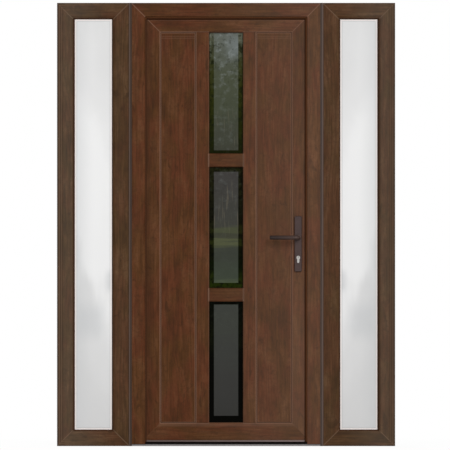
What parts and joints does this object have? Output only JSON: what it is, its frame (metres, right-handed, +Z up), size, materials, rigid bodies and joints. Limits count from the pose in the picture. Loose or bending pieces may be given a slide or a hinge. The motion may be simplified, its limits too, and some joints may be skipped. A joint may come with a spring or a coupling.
{
  "type": "door with sidelights",
  "caption": "Entrance door set with fixed sidelights: wood-foil plastic frame, inward-opening leaf with a glazed middle column and flat panels, lever handle and cylinder lock.",
  "frame": {"origin": "middle of the base face: the centre of the width and of the frame's depth, at the underside of threshold and sidelights", "axes": "+X to the right seen from outside, +Y into the house, +Z up"},
  "size_m": [1.55, 0.205, 2.032],
  "materials": {
    "cylinder": "satin nickel",
    "door_foil": "satin dark wood-grain foil",
    "gasket": "matt",
    "handle": "satin dark bronze grey",
    "drip_bar": "satin brown-grey",
    "spacer": "matt",
    "coupler": "satin",
    "sidelight_foil": "satin dark wood-grain foil",
    "satin_glass": "satin",
    "steel": "zinc-plated",
    "clear_glass": "polished, satin in the middle of each pane",
    "hinge": "satin dark bronze grey",
    "threshold": "mill finish",
    "dark_plastic": "matt"
  },
  "bodies": {
    "frame": {"door_frame_head": "door_foil", "door_frame_hinge_jamb": "door_foil", "door_frame_lock_jamb": "door_foil", "frame_seal": "gasket", "left_coupler": "coupler", "left_sidelight_beads": "sidelight_foil", "left_sidelight_glass": "satin_glass", "left_sidelight_head": "sidelight_foil", "left_sidelight_inner_stile": "sidelight_foil", "left_sidelight_outer_stile": "sidelight_foil", "left_sidelight_sill": "sidelight_foil", "lock_keeps": "steel", "lower_hinge_frame_part": "hinge", "middle_hinge_frame_part": "hinge", "right_coupler": "coupler", "right_sidelight_beads": "sidelight_foil", "right_sidelight_glass": "satin_glass", "right_sidelight_head": "sidelight_foil", "right_sidelight_inner_stile": "sidelight_foil", "right_sidelight_outer_stile": "sidelight_foil", "right_sidelight_sill": "sidelight_foil", "sidelight_gaskets": "gasket", "sidelight_spacers": "spacer", "threshold_base": "threshold", "threshold_ridge": "dark_plastic", "upper_hinge_frame_part": "hinge"},
    "leaf": {"glass_beads": "door_foil", "inside_handle_plate": "handle", "leaf_bottom_rail": "door_foil", "leaf_brush_seal": "gasket", "leaf_drip_bar": "drip_bar", "leaf_gaskets": "gasket", "leaf_hinge_stile": "door_foil", "leaf_left_mullion": "door_foil", "leaf_lock_stile": "door_foil", "leaf_right_mullion": "door_foil", "leaf_seal": "gasket", "leaf_spacers": "spacer", "leaf_top_rail": "door_foil", "left_panel": "door_foil", "lock_bolts": "steel", "lock_cylinder": "cylinder", "lock_faceplate": "steel", "lower_cross_bar": "door_foil", "lower_glass": "clear_glass", "lower_hinge_leaf_part": "hinge", "middle_glass": "clear_glass", "middle_hinge_leaf_part": "hinge", "outside_handle_plate": "handle", "panel_beads": "door_foil", "right_panel": "door_foil", "upper_cross_bar": "door_foil", "upper_glass": "clear_glass", "upper_hinge_leaf_part": "hinge"},
    "lever": {"outside_lever": "handle", "inside_lever": "handle", "lever_spindle": "handle"},
    "plug": {"cylinder_plug": "cylinder"}
  },
  "joints": [
    {"name": "leaf_swing", "type": "hinge", "parent": "frame", "child": "leaf", "pos_m": [-0.41, 0.066, 1.016], "axis": [0, 0, 1], "range_deg": [0, 90]},
    {"name": "lever_turn", "type": "hinge", "parent": "leaf", "child": "lever", "pos_m": [0.331, 0.02, 0.956], "axis": [0, -1, 0], "range_deg": [0, 40], "stiffness_Nm_per_rad": 1.5, "springref_deg": -34.38},
    {"name": "plug_turn", "type": "hinge", "parent": "leaf", "child": "plug", "pos_m": [0.331, 0.02, 0.864], "axis": [0, -1, 0], "continuous": true}
  ]
}
